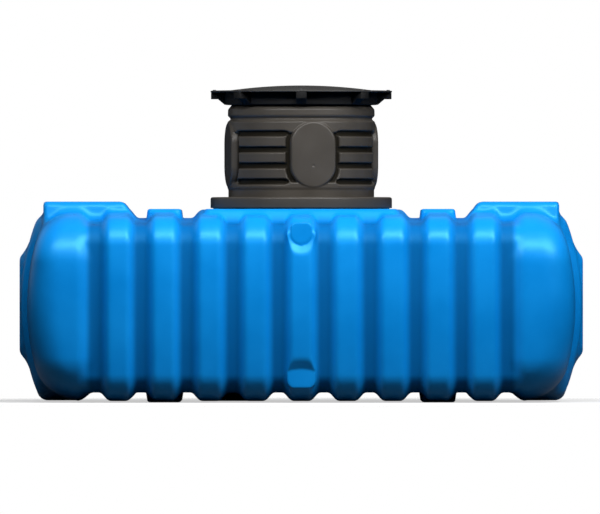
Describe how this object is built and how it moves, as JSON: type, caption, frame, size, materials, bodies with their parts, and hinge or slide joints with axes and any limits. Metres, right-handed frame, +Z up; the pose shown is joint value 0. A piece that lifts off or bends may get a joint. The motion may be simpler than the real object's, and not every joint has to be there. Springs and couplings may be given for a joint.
{
  "type": "flat rainwater tank",
  "caption": "Low ribbed plastic tank for rainwater, with domed ends, raised decks, feet, an access riser and a domed cover.",
  "frame": {"origin": "on the ground under the middle of the tank", "axes": "+Z up, X along the tank's length, -Y to the front with the main pipe pad"},
  "size_m": [2.332, 1.25, 1.31],
  "materials": {
    "tank_blue": "satin",
    "riser_black": "satin",
    "seal_rubber": "matt"
  },
  "bodies": {
    "root": {"front_wall": "tank_blue", "back_wall": "tank_blue", "front_shoulder": "tank_blue", "back_shoulder": "tank_blue", "front_haunch": "tank_blue", "back_haunch": "tank_blue", "roof": "tank_blue", "base": "tank_blue", "left_end": "tank_blue", "right_end": "tank_blue", "manhole_deck": "tank_blue", "left_end_deck": "tank_blue", "right_end_deck": "tank_blue", "left_strap_pad": "tank_blue", "right_strap_pad": "tank_blue", "left_foot": "tank_blue", "right_foot": "tank_blue", "pump_sump": "tank_blue", "front_pipe_seat": "tank_blue", "back_pipe_seat": "tank_blue", "front_drain_seat": "tank_blue", "back_drain_seat": "tank_blue", "manhole_collar": "tank_blue", "base_ring": "riser_black", "riser": "riser_black", "cover_frame": "riser_black", "cover": "riser_black", "deck_seal": "seal_rubber", "riser_seal": "seal_rubber", "cover_seal": "seal_rubber"}
  },
  "joints": []
}
